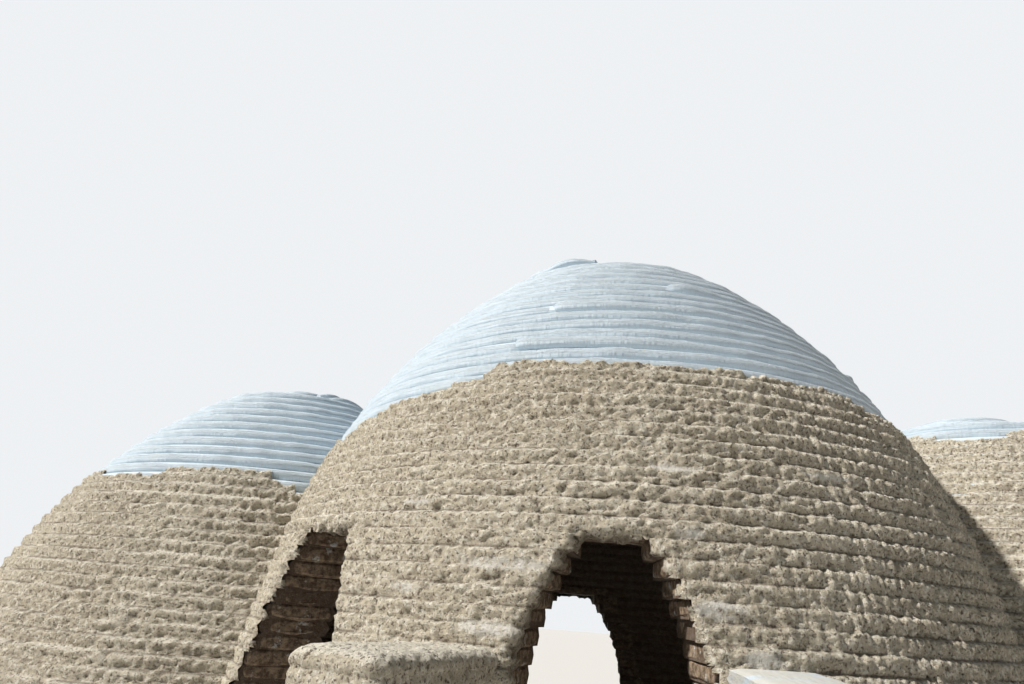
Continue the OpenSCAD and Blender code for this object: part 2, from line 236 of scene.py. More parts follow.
def noise(points, size, seed):
    """Gradient noise at each point, about -1 to 1, with features of the given size"""
    shape = points.shape[:-1]
    p = points.reshape(-1, 3) / np.asarray(size, dtype=float) + seed * 7.31
    cell = np.floor(p).astype(np.int64)
    within = p - cell
    ease = within ** 3 * (within * (within * 6 - 15) + 10)
    total = np.zeros(len(p))
    for corner in itertools.product((0, 1), repeat=3):
        # A gradient for each corner of the cell, picked by a hash of its place and the seed
        c = cell + corner
        mixed = (c[:, 0] * 73856093) ^ (c[:, 1] * 19349663) ^ (c[:, 2] * 83492791)
        mixed = ((mixed ^ (mixed >> 13) ^ seed * 40503) * 1274126177) & 0x7FFFFFFF
        gradient = EDGES[((mixed >> 15) ^ mixed) % len(EDGES)]
        weight = np.ones(len(p))
        for axis in range(3):
            weight *= ease[:, axis] if corner[axis] else 1 - ease[:, axis]
        total += weight * np.einsum("ij,ij->i", gradient, within - corner)
    return total.reshape(shape) * 1.1


def smooth(low, high, value):
    """0 below low, 1 above high, and a smooth rise between"""
    t = np.clip((value - low) / (high - low), 0.0, 1.0)
    return t * t * (3 - 2 * t)


def wrapped(turn):
    """The same turn between half a turn left and half a turn right of the front"""
    return (turn + math.pi) % (2 * math.pi) - math.pi


# Materials

def add(tree, kind, settings=None, *inputs, **named):
    """Adds a node, sets its properties and sockets, and gives its inputs, in order or by
    name, a socket to link or a value; i6 names the input at index 6"""
    node = tree.nodes.new(kind)
    for key, value in (settings or {}).items():
        if key in node.bl_rna.properties:
            setattr(node, key, value)
        else:
            node.inputs[key].default_value = value
    given = list(enumerate(inputs))
    given += [(int(key[1:]) if key[1:].isdigit() else key.replace("_", " "), value)
              for key, value in named.items()]
    for key, value in given:
        if isinstance(value, bpy.types.NodeSocket):
            tree.links.new(value, node.inputs[key])
        elif value is not None:
            node.inputs[key].default_value = value
    return node


def layers(tree, colour, *coats):
    """Lays colours over one another. Each coat has a pattern, the levels between which its
    share changes, its shares there, and its colour"""
    for pattern, low, high, share_low, share_high, over in coats:
        share = add(tree, "ShaderNodeMapRange", {"interpolation_type": "SMOOTHSTEP"},
                    pattern, low, high, share_low, share_high)
        colour = add(tree, "ShaderNodeMix", {"data_type": "RGBA"}, share.outputs[0],
                     i6=colour, i7=over).outputs[2]
    return colour


def dress(tree, colour, settings, *bumps):
    """Gives a material its colour, its gloss and its bumps, the coarsest first: each has a
    pattern, a strength and a depth in metres"""
    normal = None
    for pattern, strength, depth in bumps:
        normal = add(tree, "ShaderNodeBump", {"Strength": strength, "Distance": depth},
                     Height=pattern, Normal=normal).outputs[0]
    shader = add(tree, "ShaderNodeBsdfPrincipled", settings, Base_Color=colour, Normal=normal)
    add(tree, "ShaderNodeOutputMaterial", None, shader.outputs[0])


def hand_laid_mud(tree, palette):
    """Clay and sand plaster thrown on and dragged by hand: a matt, torn surface with
    crumbs and grit of 6 to 13 mm, paler on its raised clods and ledges with dust and
    painted highlight, and painted shade in its pits and hollows"""
    place = add(tree, "ShaderNodeTexCoord").outputs["Object"]
    # Batches about 0.6 m across, clods of 23 mm, crumbs of 13 mm and grit of 6 mm
    batch, clods, crumbs, grit = (
        add(tree, "ShaderNodeTexNoise", {"Scale": scale, "Detail": detail, "Roughness": rough},
            place).outputs["Fac"]
        for scale, detail, rough in ((1.7, 3.0, 0.5), (44.0, 6.0, 0.7), (76.0, 4.0, 0.65),
                                     (170.0, 3.0, 0.7)))
    # Pits of about 12 mm where the mud tore
    pits = add(tree, "ShaderNodeTexVoronoi", {"Scale": 62.0}, place).outputs["Distance"]
    pitted = add(tree, "ShaderNodeMapRange", {"interpolation_type": "SMOOTHSTEP"},
                 pits, 0.05, 0.34).outputs[0]
    # The painted shade of the hollows, and how much a bag shows, as stored on the mesh
    hollow_shade, smear = (add(tree, "ShaderNodeAttribute", {"attribute_name": label}).outputs["Fac"]
                     for label in ("hollow_shade", "smear"))
    # Painted highlight on the ledges, which face up
    normal = add(tree, "ShaderNodeNewGeometry").outputs["Normal"]
    facing = add(tree, "ShaderNodeSeparateXYZ", None, normal).outputs[2]
    # Over the mud's batches: dust and painted highlight on the raised clods, the ledges and
    # the grit
    rough = layers(tree, palette.mud,
                   (batch, 0.35, 0.68, 0.0, 1.0, palette.mud_second),
                   (clods, 0.50, 0.60, 0.0, 0.8, palette.mud_dust_and_highlight),
                   (facing, 0.55, 0.85, 0.0, 0.7, palette.mud_dust_and_highlight),
                   # Painted shade in the hollows, in the pits and between the crumbs
                   (hollow_shade, 0.60, 1.0, 0.0, 0.7, palette.mud_recess_shade),
                   (pits, 0.08, 0.26, 0.5, 0.0, palette.mud_recess_shade),
                   (crumbs, 0.36, 0.47, 0.9, 0.0, palette.mud_recess_shade),
                   (grit, 0.54, 0.68, 0.0, 0.45, palette.mud_dust_and_highlight))
    # Thin mud wiped over a bag that nearly shows
    wiped = layers(tree, rough, (clods, 0.36, 0.50, 0.0, 0.9, palette.smear))
    colour = add(tree, "ShaderNodeMix", {"data_type": "RGBA"}, smear, i6=rough, i7=wiped)
    dress(tree, colour.outputs[2], {"Roughness": 0.93, "Specular IOR Level": 0.25},
          (clods, 1.0, 0.022), (pitted, 0.7, 0.007), (crumbs, 1.0, 0.012), (grit, 1.0, 0.003))


def woven_polypropylene(tree, palette, dust):
    """White polypropylene raffia, woven flat and stretched over tamped earth: a soft
    sheen, fine creases across the bag, and stains and scuffs of mud dust"""
    place = add(tree, "ShaderNodeTexCoord").outputs["Object"]
    run = add(tree, "ShaderNodeUVMap", {"uv_map": "run"}).outputs[0]
    across = add(tree, "ShaderNodeMapping", {"Scale": (46.0, 9.0, 1.0)}, run).outputs[0]
    along = add(tree, "ShaderNodeMapping", {"Scale": (5.0, 60.0, 1.0)}, run).outputs[0]
    # Creases about 22 mm apart across the bag, long folds drawn along it, stains up to
    # 0.2 m across and scuffs of 17 mm
    creases, folds, stains, scuffs = (
        add(tree, "ShaderNodeTexNoise", {"Scale": scale, "Detail": detail, "Roughness": rough},
            where).outputs["Fac"]
        for where, scale, detail, rough in ((across, 1.0, 3.0, 0.55), (along, 1.0, 2.0, 0.5),
                                            (place, 5.5, 5.0, 0.62), (place, 60.0, 3.0, 0.5)))
    # Tapes of the weave, 3 mm wide on the bag, drawn 12 mm apart so that they show
    weave = add(tree, "ShaderNodeTexWave", {"Scale": 26.0, "Distortion": 1.5, "Detail": 1.0},
                run).outputs["Fac"]
    colour = layers(tree, palette.bag,
                    (folds, 0.45, 0.7, 0.0, 0.35, palette.bag_fold),
                    (stains, 0.62 - dust, 0.85 - dust, 0.0, min(0.35 + dust, 0.9),
                     palette.bag_dust),
                    (scuffs, 0.62, 0.78, 0.0, 0.5, palette.bag_dust))
    dress(tree, colour, {"Roughness": 0.55, "Specular IOR Level": 0.35, "Sheen Weight": 0.12,
                         "Sheen Roughness": 0.5},
          (creases, 0.8, 0.009), (folds, 0.7, 0.006), (weave, 0.18, 0.001))


def earth_stained_bag(tree, palette, earth, scrap_share):
    """Bag worn through to its earth: rough brown clay with pale threads and scraps of
    polypropylene that still cling to it"""
    place = add(tree, "ShaderNodeTexCoord").outputs["Object"]
    # Lumps of about 30 mm, grit of 5 mm, and scraps up to 60 mm across, frayed at their edges
    lumps, grit, scraps = (
        add(tree, "ShaderNodeTexNoise", {"Scale": scale, "Detail": detail, "Roughness": rough},
            place).outputs["Fac"]
        for scale, detail, rough in ((34.0, 6.0, 0.7), (190.0, 3.0, 0.7), (16.0, 7.0, 0.72)))
    # Painted shade in the low parts between the lumps, under each earth colour
    colour = layers(tree, palette.earth_recess_shade,
                    (lumps, 0.38, 0.66, 0.0, 1.0, getattr(palette, earth)),
                    (grit, 0.55, 0.75, 0.0, 0.5, palette.mud),
                    (scraps, 0.66 - scrap_share, 0.70 - scrap_share, 0.0, 1.0, palette.scrap))
    dress(tree, colour, {"Roughness": 0.9, "Specular IOR Level": 0.25},
          (lumps, 0.9, 0.009), (grit, 0.8, 0.003))


def studio_floor(tree, palette):
    """Matt, pale painted board under the house"""
    dress(tree, palette.floor, {"Roughness": 0.9})


# What makes each finish, with its share of dust, or its earth and its share of scraps.
# The earths are the plain one, a paler sunlit copy that is painted light, and a darker
# shaded copy that is painted shade
FINISHES = {
    "hand_laid_mud": (hand_laid_mud,),
    "woven_polypropylene": (woven_polypropylene, 0.02),
    "dusty_polypropylene": (woven_polypropylene, 0.3),
    "earth_stained_bag": (earth_stained_bag, "earth", 0.035),
    "torn_bag_on_earth": (earth_stained_bag, "sunlit_earth", 0.075),
    "inner_bag": (earth_stained_bag, "shaded_inner_earth", -0.05),
    "studio_floor": (studio_floor,),
}


def material(name):
    """The named finish, made when it is first asked for"""
    if name not in bpy.data.materials:
        made = bpy.data.materials.new(name)
        made.use_nodes = True
        made.node_tree.nodes.clear()
        make, *shares = FINISHES[name]
        make(made.node_tree, colours(), *shares)
    return bpy.data.materials[name]


# The mud coat

# Its upper edge on each dome: turns in degrees and courses
TOP_LINE = [(-180, 39.0), (-136, 39.0), (-133, 37.0), (-56, 36.6), (-52, 37.2), (-47, 38.1),
            (-40, 38.7), (-33, 39.1), (-26, 39.6), (-22, 40.2), (-19, 41.1), (20, 41.1),
            (41, 41.0), (45, 40.4), (70, 40.2), (132, 39.8), (136, 39.0), (180, 39.0)]
LEFT_TOP = [(-180, 34.9), (-60, 34.8), (-10, 34.2), (-6, 34.9), (16, 35.0), (22, 34.2),
            (28, 33.2), (40, 32.8), (60, 32.5), (180, 34.9)]
RIGHT_TOP = [(-180, 42.8), (-100, 42.6), (-60, 42.9), (-20, 42.2), (0, 42.9), (180, 42.8)]
# Places where a bag nearly shows: turn in degrees, course, half width and half height
SMEARS = [(-11.3, 27.1, 0.160, 0.022), (-12.0, 23.8, 0.12, 0.026), (-22.4, 25.6, 0.07, 0.014),
          (7.2, 33.0, 0.10, 0.013), (8.0, 29.3, 0.06, 0.016), (10.5, 25.6, 0.09, 0.030),
          (14.0, 23.4, 0.07, 0.028), (-24.0, 30.5, 0.07, 0.012), (27.0, 33.5, 0.12, 0.012)]
# How far each of the mud's sheets runs on inside another dome
OVERLAP = 0.07
# How far the mud runs on inside a doorway, before it is turned in, and the jambs where
# little of it does: the far one of the left doorway and the right one of the front
FOLD, SCANT_FOLD = 0.042, 0.012
SCANT_JAMBS = [(-180, -42), (3, 20)]
# How far the edge at a doorway is torn either way, beside it and over it
TORN_JAMB, TORN_ARCH = 0.013, 0.012
# How much one course stands out more than another, how low its crest hangs and how flat
# it is, and how full a groove is wiped at most
SWELL = 0.006
SAG, FLATNESS = 1.15, 3.6
WIPED_LEVEL, WIPED_SHARE = 0.92, 0.72
# The thinnest mud over the bags, how far behind their faces its torn edge ends, and the
# width over which it thins
LEAST_SKIN, TUCK, TAPER = 0.0015, 0.034, 0.030
# How steeply the mud goes in at a doorway, and how far its lip is rounded
TURN_IN, LIP = 1.8, 0.014
# Patterns in the mud: how large their features are in metres, along the wall, through it
# and up it where they differ, and their seed
LONG_WAVES, SHORT_WAVES = ((0.9, 0.9, 0.5), 11), ((0.33, 0.33, 0.25), 12)
LARGE_LUMPS, HAND_LUMPS = ((0.12, 0.2, 0.055), 31), ((0.05, 0.1, 0.05), 32)
LAID_CLODS, DRAGGED_CLODS = ((0.042, 0.08, 0.020), 33), ((0.020, 0.08, 0.052), 34)
CRUMBS, REVEAL_LUMPS = ((0.021, 0.05, 0.017), 35), ((0.05, 0.05, 0.045), 36)
WIPED_PATCHES = ((0.40, 0.40, 0.11), 37)
EDGE_SCALLOPS, EDGE_CRUMBS, FOLD_EDGE = (0.11, 41), (0.035, 42), (0.05, 43)
JAMB_TEARS, ARCH_TEARS = ((1, 0.5, 0.045), 44), (0.05, 45)
WING_CLODS, WING_LUMPS = ((0.030, 0.030, 0.035), 71), ((0.10, 0.10, 0.08), 72)
WING_CRUMBS = (0.016, 73)


def course_wave(points):
    """How far the course line through each point rises or falls"""
    slow = noise(points, *LONG_WAVES) + 0.45 * noise(points, *SHORT_WAVES)
    return sizes().wave * slow * smooth(0.05, 0.4, points[..., 2])


def folded(dome, turn, rise):
    """How far points lie inside a doorway and which side of it they are on, with their
    turns and rises moved back to its edge"""
    depth, side = np.full(turn.shape, -1.0), np.zeros(turn.shape)
    new_turn, new_rise = turn, rise
    if dome is not MIDDLE:
        return depth, side, turn, rise
    radius = MIDDLE.radius(rise * COURSE)
    for door in OUTER_DOORS:
        gap = wrapped(turn - door.turn)
        hand = np.sign(gap)
        beyond = np.stack([0 * rise, hand, rise * COURSE], axis=-1)
        half = door.mud_angle(rise) + TORN_JAMB * noise(beyond, *JAMB_TEARS) / radius
        beside = (np.abs(gap) - half) * radius
        over = np.stack([gap * radius, 0 * rise, 0 * rise], axis=-1)
        above = (rise - door.rise) * COURSE + TORN_ARCH * noise(over, *ARCH_TEARS)
        within = -np.maximum(beside, above)
        here = within > depth
        depth = np.where(here, within, depth)
        moved = here & (within > 0)
        jamb = moved & (beside >= above)
        side = np.where(jamb, hand, side)
        new_turn = np.where(jamb, turn - gap + hand * (half - LIP / radius), new_turn)
        new_rise = np.where(moved & ~jamb, door.rise - 0.15, new_rise)
    return depth, side, new_turn, new_rise


def smeared(turn, rise):
    """From 0 to 1, how much a bag shows at points of the middle dome"""
    most = np.zeros(turn.shape)
    for where, course, wide, high in SMEARS:
        across = (turn - math.radians(where)) * MIDDLE.radius(course * COURSE)
        reach = np.hypot(across / wide, (rise - course) * COURSE / high)
        most = np.maximum(most, 1 - smooth(0.6, 1.2, reach))
    return most


def mud_surface(dome, turns, rises, edge, drag):
    """Points of the mud coat on a dome, which of them to keep, how much painted shade each
    has and how smeared each is. Rises are in courses, edge gives how far a point is inside
    the mud, and drag, from 0 to 1, how much the mud was dragged downwards there"""
    turn, rise = np.meshgrid(turns, rises)
    inside = edge(turn, rise, dome.place(turn, dome.radius(rise * COURSE), rise * COURSE))
    depth, side, turn, rise = folded(dome, turn, rise)
    deep = np.maximum(depth, 0.0)
    smear = smeared(turn, rise) if dome is MIDDLE else 0 * turn
    level = rise * COURSE
    wall, lean = dome.radius(level), dome.slope(level)
    bare = dome.place(turn, wall, level)
    k = np.floor(rise + 1e-6).astype(int)
    share = rise - k
    low, high = dome.groove_radius(k), dome.groove_radius(k + 1)
    crest = dome.course_radius(k) + COAT
    # Each course stands out by its own amount, which changes along it
    own = np.stack([turn * 1.1 + k * 3.7, k * 5.3, k * 1.9 + 0 * turn], axis=-1)
    crest = crest + SWELL * noise(own, 1.0, 21)
    groove = low + (high - low) * share
    roll = 1.0 - np.abs(2.0 * share ** SAG - 1.0) ** FLATNESS
    # In places the grooves are wiped nearly full
    wiped = smooth(-0.10, 0.55, noise(bare, *WIPED_PATCHES)) * (1 - 0.5 * drag)
    roll = roll + (WIPED_LEVEL - roll) * WIPED_SHARE * wiped
    radius = groove + (crest - groove) * roll
    z = level + course_wave(bare)
    # The patterns run along the wall, and on round into a doorway
    along = dome.radius(1.2) * turn
    flat = np.stack([along, 0.35 * radius + 1.6 * deep, z], axis=-1)
    lumps = noise(flat, *LARGE_LUMPS) + 0.5 * noise(flat, *HAND_LUMPS)
    clods = noise(flat, *LAID_CLODS) * (1 - drag) + noise(flat, *DRAGGED_CLODS) * drag
    # Clods are cut off flat on top, so that the pits between them are the deepest
    torn = np.minimum(clods * 1.3, 0.22) + 0.55 * noise(flat, *CRUMBS)
    step = sizes().lump * lumps * (0.7 + 0.3 * drag)
    step = step + sizes().clod * torn * (1 + 0.6 * drag)
    step = step * (1 - 0.75 * smear)
    # No deeper than the bags behind the coat
    backing = dome.course_radius(np.floor(z / COURSE + 1e-6)) + LEAST_SKIN
    step = np.maximum(step, np.minimum((backing - radius) / np.cos(lean), 0.01))
    ragged = inside + sizes().ragged * (noise(bare, *EDGE_SCALLOPS)
                                        + 0.6 * noise(bare, *EDGE_CRUMBS))
    cover = smooth(0.0, TAPER, ragged)
    sunk = wall - TUCK
    radius = sunk + (radius - sunk) * cover ** 0.6
    # At a doorway the mud rounds off and turns in over the bag ends
    turned = smooth(-0.004, 0.016, depth)
    radius = radius - TURN_IN * deep - LIP * smooth(-0.020, 0.006, depth)
    radius = radius + step * cover * (1 - turned) * np.cos(lean)
    reveal = step + 0.010 * noise(flat + [0, 0, 3.0 * np.pi], *REVEAL_LUMPS)
    turn = turn - side * turned * 1.2 * reveal / radius
    z = z + step * cover * (1 - turned) * np.sin(lean)
    z = z - turned * (side == 0) * np.maximum(1.6 * reveal + 0.006, -0.004)
    z = np.where(rise <= 0, 0.0, np.maximum(z, 0.0))
    # Painted shade: darker in the grooves, the doorway reveals, between the clods and in the
    # low parts between the lumps, and less where a bag nearly shows
    hollow_shade = 0.48 - 0.3 * torn - 0.1 * lumps + 0.5 * (1 - roll) ** 2 + 0.46 * turned
    hollow_shade = np.clip(hollow_shade * (1 - 0.7 * smear), 0.0, 1.0)
    scant = np.any([(turn > math.radians(start)) & (turn < math.radians(end))
                    for start, end in SCANT_JAMBS], axis=0)
    reach = np.where(scant, SCANT_FOLD, FOLD) + 0.020 * noise(bare, *FOLD_EDGE)
    keep = (ragged > -0.012) & (depth < reach)
    return dome.place(turn, radius, z), keep, hollow_shade, smear


def mud_sheet(name, grid, keep, hollow_shade, smear, nodes):
    """Makes a sheet of mud that stands for CAD nodes. The rows of its grid of points go up
    and its columns go right, seen from outside"""
    rows, columns = keep.shape
    index = np.arange(rows * columns).reshape(rows, columns)
    quads = np.stack([index[:-1, :-1], index[:-1, 1:], index[1:, 1:], index[1:, :-1]], axis=-1)
    faces = quads[keep[:-1, :-1] & keep[:-1, 1:] & keep[1:, 1:] & keep[1:, :-1]]
    if len(faces) == 0:
        raise RuntimeError("no mud is left on " + name)
    used, corners = np.unique(faces, return_inverse=True)
    mesh = bpy.data.meshes.new(name)
    mesh.vertices.add(len(used))
    mesh.vertices.foreach_set("co", grid.reshape(-1, 3)[used].astype(np.float32).ravel())
    mesh.loops.add(faces.size)
    mesh.loops.foreach_set("vertex_index", corners.astype(np.int32).ravel())
    mesh.polygons.add(len(faces))
    mesh.polygons.foreach_set("loop_start", np.arange(0, faces.size, 4, dtype=np.int32))
    for label, values in (("hollow_shade", hollow_shade), ("smear", smear)):
        layer = mesh.attributes.new(label, "FLOAT", "POINT")
        layer.data.foreach_set("value", values.ravel()[used].astype(np.float32))
    mesh.update(calc_edges=True)
    mesh.validate()
    mesh.shade_smooth()
    mesh.materials.append(material("hand_laid_mud"))
    piece = bpy.data.objects.new(name, mesh)
    bpy.context.scene.collection.objects.link(piece)
    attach(piece, "root")
    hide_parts(*nodes)


def mud_piece(name, dome, span, courses, column, rows, edge, nodes, drag=None):
    """Lays mud on a dome over a span of turns, in degrees, and of courses"""
    column, rows = column * COARSE, max(rows // COARSE, 3)
    middle = float(dome.radius((courses[0] + courses[1]) / 2 * COURSE))
    start, end = (math.radians(turn) for turn in span)
    count = max(int((end - start) * middle / column), 8)
    turns = np.linspace(start, end, count + 1)
    rises = np.linspace(courses[0], courses[1], (courses[1] - courses[0]) * rows + 1)
    dragging = drag(turns[None, :]) if drag else 0.0
    mud_sheet(name, *mud_surface(dome, turns, rises, edge, dragging), nodes)


def mud_edge(line, *others):
    """Gives a function for how far inside the mud points are: below its top line, and
    outside the domes that it runs into"""
    turns, tops = np.array(line, dtype=float).T

    def edge(turn, rise, points):
        top = np.interp(np.degrees(wrapped(turn)), turns, tops)
        # Mostly it stops at a whole course, a little below the next groove
        top = 0.3 * top + 0.7 * np.round(top)
        below = 0.004
        inside = (top - rise) * COURSE - below
        for dome in others:
            inside = np.minimum(inside, dome.outside(points) + OVERLAP)
        return inside

    return edge


def flank_drag(turns):
    """From 0 to 1, how much mud was dragged down at turns on the middle dome: its right
    flank"""
    return smooth(math.radians(12), math.radians(34), turns)


class DOMEHOUSE_OT_mud_coat(bpy.types.Operator):
    """Lays the mud coat on the three domes"""
    bl_idname = "domehouse.mud_coat"
    bl_label = "Mud coat"

    def execute(self, context):
        near, far = sizes().column, sizes().back_column
        edge = mud_edge(TOP_LINE, LEFT, RIGHT)
        mud_piece("mud_middle_front", MIDDLE, (-104.0, 104.0), (0, 30), near, 7, edge,
                  ["front_left_coat", "front_right_coat", "left_coat", "right_coat"],
                  flank_drag)
        mud_piece("mud_middle_high_front", MIDDLE, (-66.0, 78.0), (30, 42), near, 9, edge,
                  ["front_haunch_coat"], flank_drag)
        mud_piece("mud_middle_high_back", MIDDLE, (78.0, 294.0), (30, 42), far, 5, edge,
                  ["left_haunch_coat", "right_haunch_coat", "back_haunch_coat"])
        mud_piece("mud_middle_back", MIDDLE, (104.0, 256.0), (0, 30), far, 4, edge,
                  ["back_left_coat", "back_right_coat"])
        edge = mud_edge(LEFT_TOP, MIDDLE)
        mud_piece("mud_left_front", LEFT, (-78.0, 76.0), (0, 36), near * 1.2, 6, edge,
                  ["left_dome_front_coat"])
        mud_piece("mud_left_back", LEFT, (76.0, 282.0), (0, 36), far, 4, edge,
                  ["left_dome_back_coat"])
        edge = mud_edge(RIGHT_TOP, MIDDLE)
        mud_piece("mud_right_front", RIGHT, (-76.0, 78.0), (0, 43), near * 1.35, 6, edge,
                  ["right_dome_front_coat"])
        mud_piece("mud_right_back", RIGHT, (78.0, 284.0), (0, 43), far, 4, edge,
                  ["right_dome_back_coat"])
        return {"FINISHED"}


# Bags

# Courses of the middle dome that begin with a tucked end: course and turn in degrees
TUCKED = {46: -15.0, 49: 12.8, 42: -19.0, 44: 61.0}
# Sizes of a bag's last rings, from its closed end
BLUNT_END = (0.30, 0.74, 0.92, 0.98)
# Turn at which the coils of the crowns begin, the width of their bag and the distance
# between its rings, and the turns between which the spare bag lies, in degrees
COIL_START = 0.8
COIL_BAG = 0.150
COIL_STEP = 0.022
SPARE_SPAN = (-95, -13)


def bag_tree(name, finish):
    """Geometry Nodes that fill a bag along each spline: a rounded section, wrinkles
    across it and lumps of earth in it"""
    tree = bpy.data.node_groups.new(name, "GeometryNodeTree")
    sockets = tree.interface.new_socket
    sockets("Geometry", in_out="INPUT", socket_type="NodeSocketGeometry")
    for label in ("Bag Width", "Course Height", "Squareness", "Wrinkle Depth", "Lump Depth"):
        sockets(label, in_out="INPUT", socket_type="NodeSocketFloat")
    sockets("Seed", in_out="INPUT", socket_type="NodeSocketInt")
    sockets("Geometry", in_out="OUTPUT", socket_type="NodeSocketGeometry")
    given = add(tree, "NodeGroupInput").outputs
    position = add(tree, "GeometryNodeInputPosition").outputs[0]

    # The section: a circle whose sides are squared off
    ring = add(tree, "GeometryNodeCurvePrimitiveCircle", {"Resolution": 12, "Radius": 1.0})
    sides = []
    for spot, size in zip(add(tree, "ShaderNodeSeparateXYZ", None, position).outputs,
                          (given["Bag Width"], given["Course Height"])):
        sign = add(tree, "ShaderNodeMath", {"operation": "SIGN"}, spot).outputs[0]
        for operation, by in (("ABSOLUTE", None), ("POWER", given["Squareness"]),
                              ("MULTIPLY", sign), ("MULTIPLY", size), ("MULTIPLY", 0.5)):
            spot = add(tree, "ShaderNodeMath", {"operation": operation}, spot, by).outputs[0]
        sides.append(spot)
    section = add(tree, "GeometryNodeSetPosition", None, ring.outputs[0],
                  Position=add(tree, "ShaderNodeCombineXYZ", None, *sides).outputs[0])
    upright = add(tree, "GeometryNodeSetCurveNormal", {"mode": "Z_UP"}, given["Geometry"])

    # Distances round the section and along the spline
    measured = []
    for label, curve in (("girth", section), ("length", upright)):
        node = add(tree, "GeometryNodeCaptureAttribute", None, curve.outputs[0])
        node.capture_items.new("FLOAT", label)
        tree.links.new(add(tree, "GeometryNodeSplineParameter").outputs["Length"],
                       node.inputs[label])
        measured.append(node.outputs)
    girth, length = measured
    bag = add(tree, "GeometryNodeCurveToMesh", {"Fill Caps": True}, length["Geometry"],
              girth["Geometry"], Scale=add(tree, "GeometryNodeInputRadius").outputs[0])
    run = add(tree, "ShaderNodeCombineXYZ", None, length["length"], girth["girth"],
              given["Seed"]).outputs[0]

    # Wrinkles across the bag and lumps in it, pushed out along its normals
    across = add(tree, "ShaderNodeVectorMath", {"operation": "MULTIPLY"}, run,
                 (17.0, 5.0, 3.1)).outputs[0]
    pushes = []
    for where, scale, detail, depth in ((across, 1.0, 2.0, given["Wrinkle Depth"]),
                                        (position, 9.0, 1.0, given["Lump Depth"])):
        pattern = add(tree, "ShaderNodeTexNoise", {"Scale": scale, "Detail": detail}, where)
        level = add(tree, "ShaderNodeMath", {"operation": "SUBTRACT"},
                    pattern.outputs["Fac"], 0.5)
        pushes.append(add(tree, "ShaderNodeMath", {"operation": "MULTIPLY"},
                          level.outputs[0], depth).outputs[0])
    push = add(tree, "ShaderNodeMath", {"operation": "ADD"}, *pushes)
    offset = add(tree, "ShaderNodeVectorMath", {"operation": "SCALE"},
                 add(tree, "GeometryNodeInputNormal").outputs[0], Scale=push.outputs[0])
    geometry = add(tree, "GeometryNodeSetPosition", None, bag.outputs[0],
                   Offset=offset.outputs[0]).outputs[0]
    for kind, settings, named in (
            ("GeometryNodeStoreNamedAttribute",
             {"data_type": "FLOAT2", "domain": "CORNER", "Name": "run"}, {"Value": run}),
            ("GeometryNodeSetShadeSmooth", None, {}),
            ("GeometryNodeRealizeInstances", None, {}),
            ("GeometryNodeSetMaterial", {"Material": material(finish)}, {}),
            ("NodeGroupOutput", None, {})):
        node = add(tree, kind, settings, geometry, **named)
        if node.outputs:
            geometry = node.outputs[0]
    return tree


def fill_bags(name, splines, width, height, finish, nodes=(), squareness=0.5,
              wrinkle=None, lump=0.008, seed=1):
    """Makes bags along splines, each of which has points, sizes and whether it is closed"""
    curve = bpy.data.curves.new(name + "_path", "CURVE")
    curve.dimensions = "3D"
    for points, scales, closed in splines:
        spline = curve.splines.new("POLY")
        spline.points.add(len(points) - 1)
        spline.points.foreach_set("co", np.hstack([points, np.ones((len(points), 1))]).ravel())
        spline.points.foreach_set("radius", np.asarray(scales, dtype=float))
        spline.use_cyclic_u = closed
    path = bpy.data.objects.new(name + "_path", curve)
    bpy.context.scene.collection.objects.link(path)
    modifier = path.modifiers.new("Bags", "NODES")
    modifier.node_group = bag_tree(name, finish)
    values = {"Bag Width": width, "Course Height": height, "Squareness": squareness,
              "Wrinkle Depth": sizes().wrinkle if wrinkle is None else wrinkle,
              "Lump Depth": lump, "Seed": seed}
    for item in modifier.node_group.interface.items_tree:
        if item.in_out == "INPUT" and item.name in values:
            modifier[item.identifier] = values[item.name]
    path.update_tag()
    evaluated = path.evaluated_get(bpy.context.evaluated_depsgraph_get())
    mesh = bpy.data.meshes.new_from_object(evaluated)
    if len(mesh.polygons) == 0:
        raise RuntimeError("no bags were made for " + name)
    path.modifiers.clear()
    bpy.data.objects.remove(path)
    bpy.data.curves.remove(curve)
    mesh.name = name
    piece = bpy.data.objects.new(name, mesh)
    bpy.context.scene.collection.objects.link(piece)
    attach(piece, "root")
    if nodes:
        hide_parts(*nodes)


def rounded_ends(scales):
    """Tapers the first and last of a bag's sizes to a blunt, closed end"""
    scales = np.array(scales, dtype=float)
    for i, share in enumerate(BLUNT_END[:len(scales) // 2]):
        scales[i] *= share
        scales[-1 - i] *= share
    return scales


def course_line(dome, k, start, end, inset, step, closed=False):
    """Spline of course k of a dome between two turns, in degrees"""
    radius = float(dome.course_radius(k)) - inset
    start, end = math.radians(start), math.radians(end)
    count = max(int((end - start) * radius / step), 5)
    turn = np.linspace(start, end, count, endpoint=not closed)
    level = (k + 0.5) * COURSE
    flat = dome.place(turn, dome.radius(level), level)
    # Each course rises, stands out and swells by its own amount, which changes along it
    own = np.stack([np.sin(turn) * 2 + k * 4.1, np.cos(turn) * 2, k * 2.7 + 0 * turn], axis=-1)
    z = level + 0.6 * course_wave(flat) + 0.002 * noise(own, 0.35, 51)
    r = radius + 0.007 * noise(own, 0.6, 52) + 0.004 * noise(own, 0.2, 53)
    size = 1.0 + 0.05 * noise(own, 0.3, 54)
    points = dome.place(turn, r, z)
    return points, size if closed else rounded_ends(size), closed


